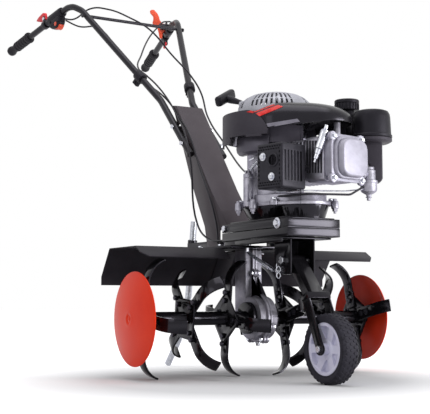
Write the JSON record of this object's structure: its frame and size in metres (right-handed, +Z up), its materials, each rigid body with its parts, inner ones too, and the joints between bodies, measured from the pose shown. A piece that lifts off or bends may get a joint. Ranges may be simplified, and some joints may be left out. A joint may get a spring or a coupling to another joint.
{
  "type": "tiller",
  "caption": "Walk-behind petrol tiller: vertical-shaft engine on a steel frame, belt and worm drive to tined rotors with plant discs, folding front wheel, drag stake and upright handlebar",
  "frame": {"origin": "centre of the bounding box at ground level", "axes": "+Z up, the machine faces -Y (transport wheel in front, handlebar behind at +Y), the operator's right hand is at -X"},
  "size_m": [0.706, 1.5622, 1.1408],
  "materials": {
    "black_paint": "semi-gloss",
    "console_paint": "satin powder coat",
    "zinc_steel": "zinc plated",
    "machined_steel": "machined",
    "belt_rubber": "matt",
    "black_plastic": "fine grained",
    "red_plastic": "gloss",
    "orange_plastic": "gloss",
    "bronze": "machined",
    "cast_alloy": "as cast",
    "disc_paint": "gloss enamel",
    "wheel_plastic": "moulded",
    "tyre_rubber": "matt",
    "silver_plastic": "metallic paint",
    "plug_ceramic": "boot"
  },
  "bodies": {
    "chassis": {"main_frame": "black_paint", "engine_pan": "black_paint", "chassis_plate": "black_paint", "chassis_bolts": "zinc_steel", "drive_belt": "belt_rubber", "tension_spring": "zinc_steel", "gearbox_case_right": "cast_alloy", "gearbox_case_left": "cast_alloy", "wheel_tower": "black_paint", "tower_pins": "zinc_steel", "tine_guards": "black_paint", "hitch_bracket": "black_paint", "console": "console_paint", "throttle_cable": "black_plastic", "clutch_cables": "black_plastic", "sump": "cast_alloy", "cylinder_block": "cast_alloy", "rocker_cover": "cast_alloy", "engine_bolts": "zinc_steel", "spark_plug": "plug_ceramic", "muffler": "black_paint", "muffler_guard": "black_paint", "blower_shroud": "black_plastic", "fan_cover": "silver_plastic", "fuel_tank": "black_plastic", "air_filter_base": "black_plastic", "air_filter_cap": "black_plastic", "carburettor": "cast_alloy", "dipstick": "black_plastic"},
    "rotor": {"rotor_right": "black_paint", "rotor_left": "black_paint", "tines_right": "black_paint", "tines_left": "black_paint", "rotor_bolts": "black_paint", "side_discs": "disc_paint", "tine_shaft": "machined_steel", "worm_wheel": "bronze"},
    "worm": {"worm_drive_shaft": "machined_steel"},
    "crank": {"crankshaft": "machined_steel"},
    "idler_lever": {"idler_arm": "machined_steel"},
    "idler_wheel": {"idler_pulley": "black_plastic"},
    "wheel_arm": {"wheel_fork": "black_paint", "wheel_bolt": "zinc_steel"},
    "front_wheel": {"wheel_rim": "wheel_plastic", "wheel_tyre": "tyre_rubber"},
    "stake": {"drag_stake": "zinc_steel"},
    "handlebar": {"handle_right": "black_paint", "handle_left": "black_paint", "cable_clamps": "black_plastic", "handle_bolts": "zinc_steel", "grips": "belt_rubber", "crossbar": "black_paint", "throttle_housing": "black_plastic", "clutch_bracket": "zinc_steel"},
    "speed_lever": {"throttle_lever": "orange_plastic"},
    "dead_man_catch": {"safety_catch": "red_plastic"},
    "drive_lever": {"clutch_lever": "orange_plastic"},
    "reverse_catch": {"lockout_catch": "red_plastic"},
    "pull_grip": {"recoil_grip": "belt_rubber"},
    "tank_cap": {"fuel_cap": "black_plastic"}
  },
  "joints": [
    {"name": "tine_spin", "type": "hinge", "parent": "chassis", "child": "rotor", "pos_m": [0, -0.38012, 0.145], "axis": [1, 0, 0], "continuous": true},
    {"name": "worm_spin", "type": "hinge", "parent": "chassis", "child": "worm", "pos_m": [0.01, -0.33512, 0.25], "axis": [0, 0, 1], "continuous": true},
    {"name": "crank_spin", "type": "hinge", "parent": "chassis", "child": "crank", "pos_m": [0, -0.48012, 0.5], "axis": [0, 0, 1], "continuous": true},
    {"name": "idler_swing", "type": "hinge", "parent": "chassis", "child": "idler_lever", "pos_m": [-0.0306, -0.38056, 0.332], "axis": [0, 0, 1], "range_deg": [-6, 0], "stiffness_Nm_per_rad": 2, "springref_deg": 2.86},
    {"name": "idler_spin", "type": "hinge", "parent": "idler_lever", "child": "idler_wheel", "pos_m": [-0.0366, -0.42212, 0.354], "axis": [0, 0, 1], "continuous": true},
    {"name": "wheel_fold", "type": "hinge", "parent": "chassis", "child": "wheel_arm", "pos_m": [0, -0.56312, 0.284], "axis": [-1, 0, 0], "range_deg": [0, 50]},
    {"name": "wheel_spin", "type": "hinge", "parent": "wheel_arm", "child": "front_wheel", "pos_m": [0, -0.70112, 0.08], "axis": [1, 0, 0], "continuous": true},
    {"name": "stake_slide", "type": "slide", "parent": "chassis", "child": "stake", "axis": [0, -0.1513, 0.9885], "range_m": [0, 0.1]},
    {"name": "handle_tilt", "type": "hinge", "parent": "chassis", "child": "handlebar", "pos_m": [0, -0.10412, 0.622], "axis": [1, 0, 0], "range_deg": [-6, 6], "deforming": ["throttle_cable", "clutch_cables"]},
    {"name": "speed_lever_turn", "type": "hinge", "parent": "handlebar", "child": "speed_lever", "pos_m": [-0.20018, 0.47564, 1.07337], "axis": [0.9834, 0.1814, 0], "range_deg": [0, 20]},
    {"name": "dead_man_press", "type": "hinge", "parent": "handlebar", "child": "dead_man_catch", "pos_m": [-0.21579, 0.56029, 1.11211], "axis": [0.9834, 0.1814, 0], "range_deg": [-12, 0], "stiffness_Nm_per_rad": 0.3, "springref_deg": 8.59},
    {"name": "drive_squeeze", "type": "hinge", "parent": "handlebar", "child": "drive_lever", "pos_m": [0.20306, 0.49126, 1.12928], "axis": [0.9834, -0.1814, 0], "range_deg": [-8, 0], "stiffness_Nm_per_rad": 1, "springref_deg": 8.59},
    {"name": "reverse_press", "type": "hinge", "parent": "handlebar", "child": "reverse_catch", "pos_m": [0.20853, 0.52091, 1.07164], "axis": [0.9834, -0.1814, 0], "range_deg": [-25, 0], "stiffness_Nm_per_rad": 0.2, "springref_deg": 8.59},
    {"name": "recoil_pull", "type": "slide", "parent": "chassis", "child": "pull_grip", "axis": [-0.5299, 0.848, 0], "range_m": [0, 0.25], "stiffness_N_per_m": 20, "springref_m": -0.05},
    {"name": "cap_twist", "type": "hinge", "parent": "chassis", "child": "tank_cap", "pos_m": [0.14672, -0.57878, 0.655], "axis": [0, 0, 1], "range_deg": [0, 90]}
  ],
  "couplings": [
    {"joint": "worm_spin", "follows": "tine_spin", "ratio": 22},
    {"joint": "crank_spin", "follows": "tine_spin", "ratio": 33},
    {"joint": "idler_spin", "follows": "tine_spin", "ratio": -66}
  ]
}
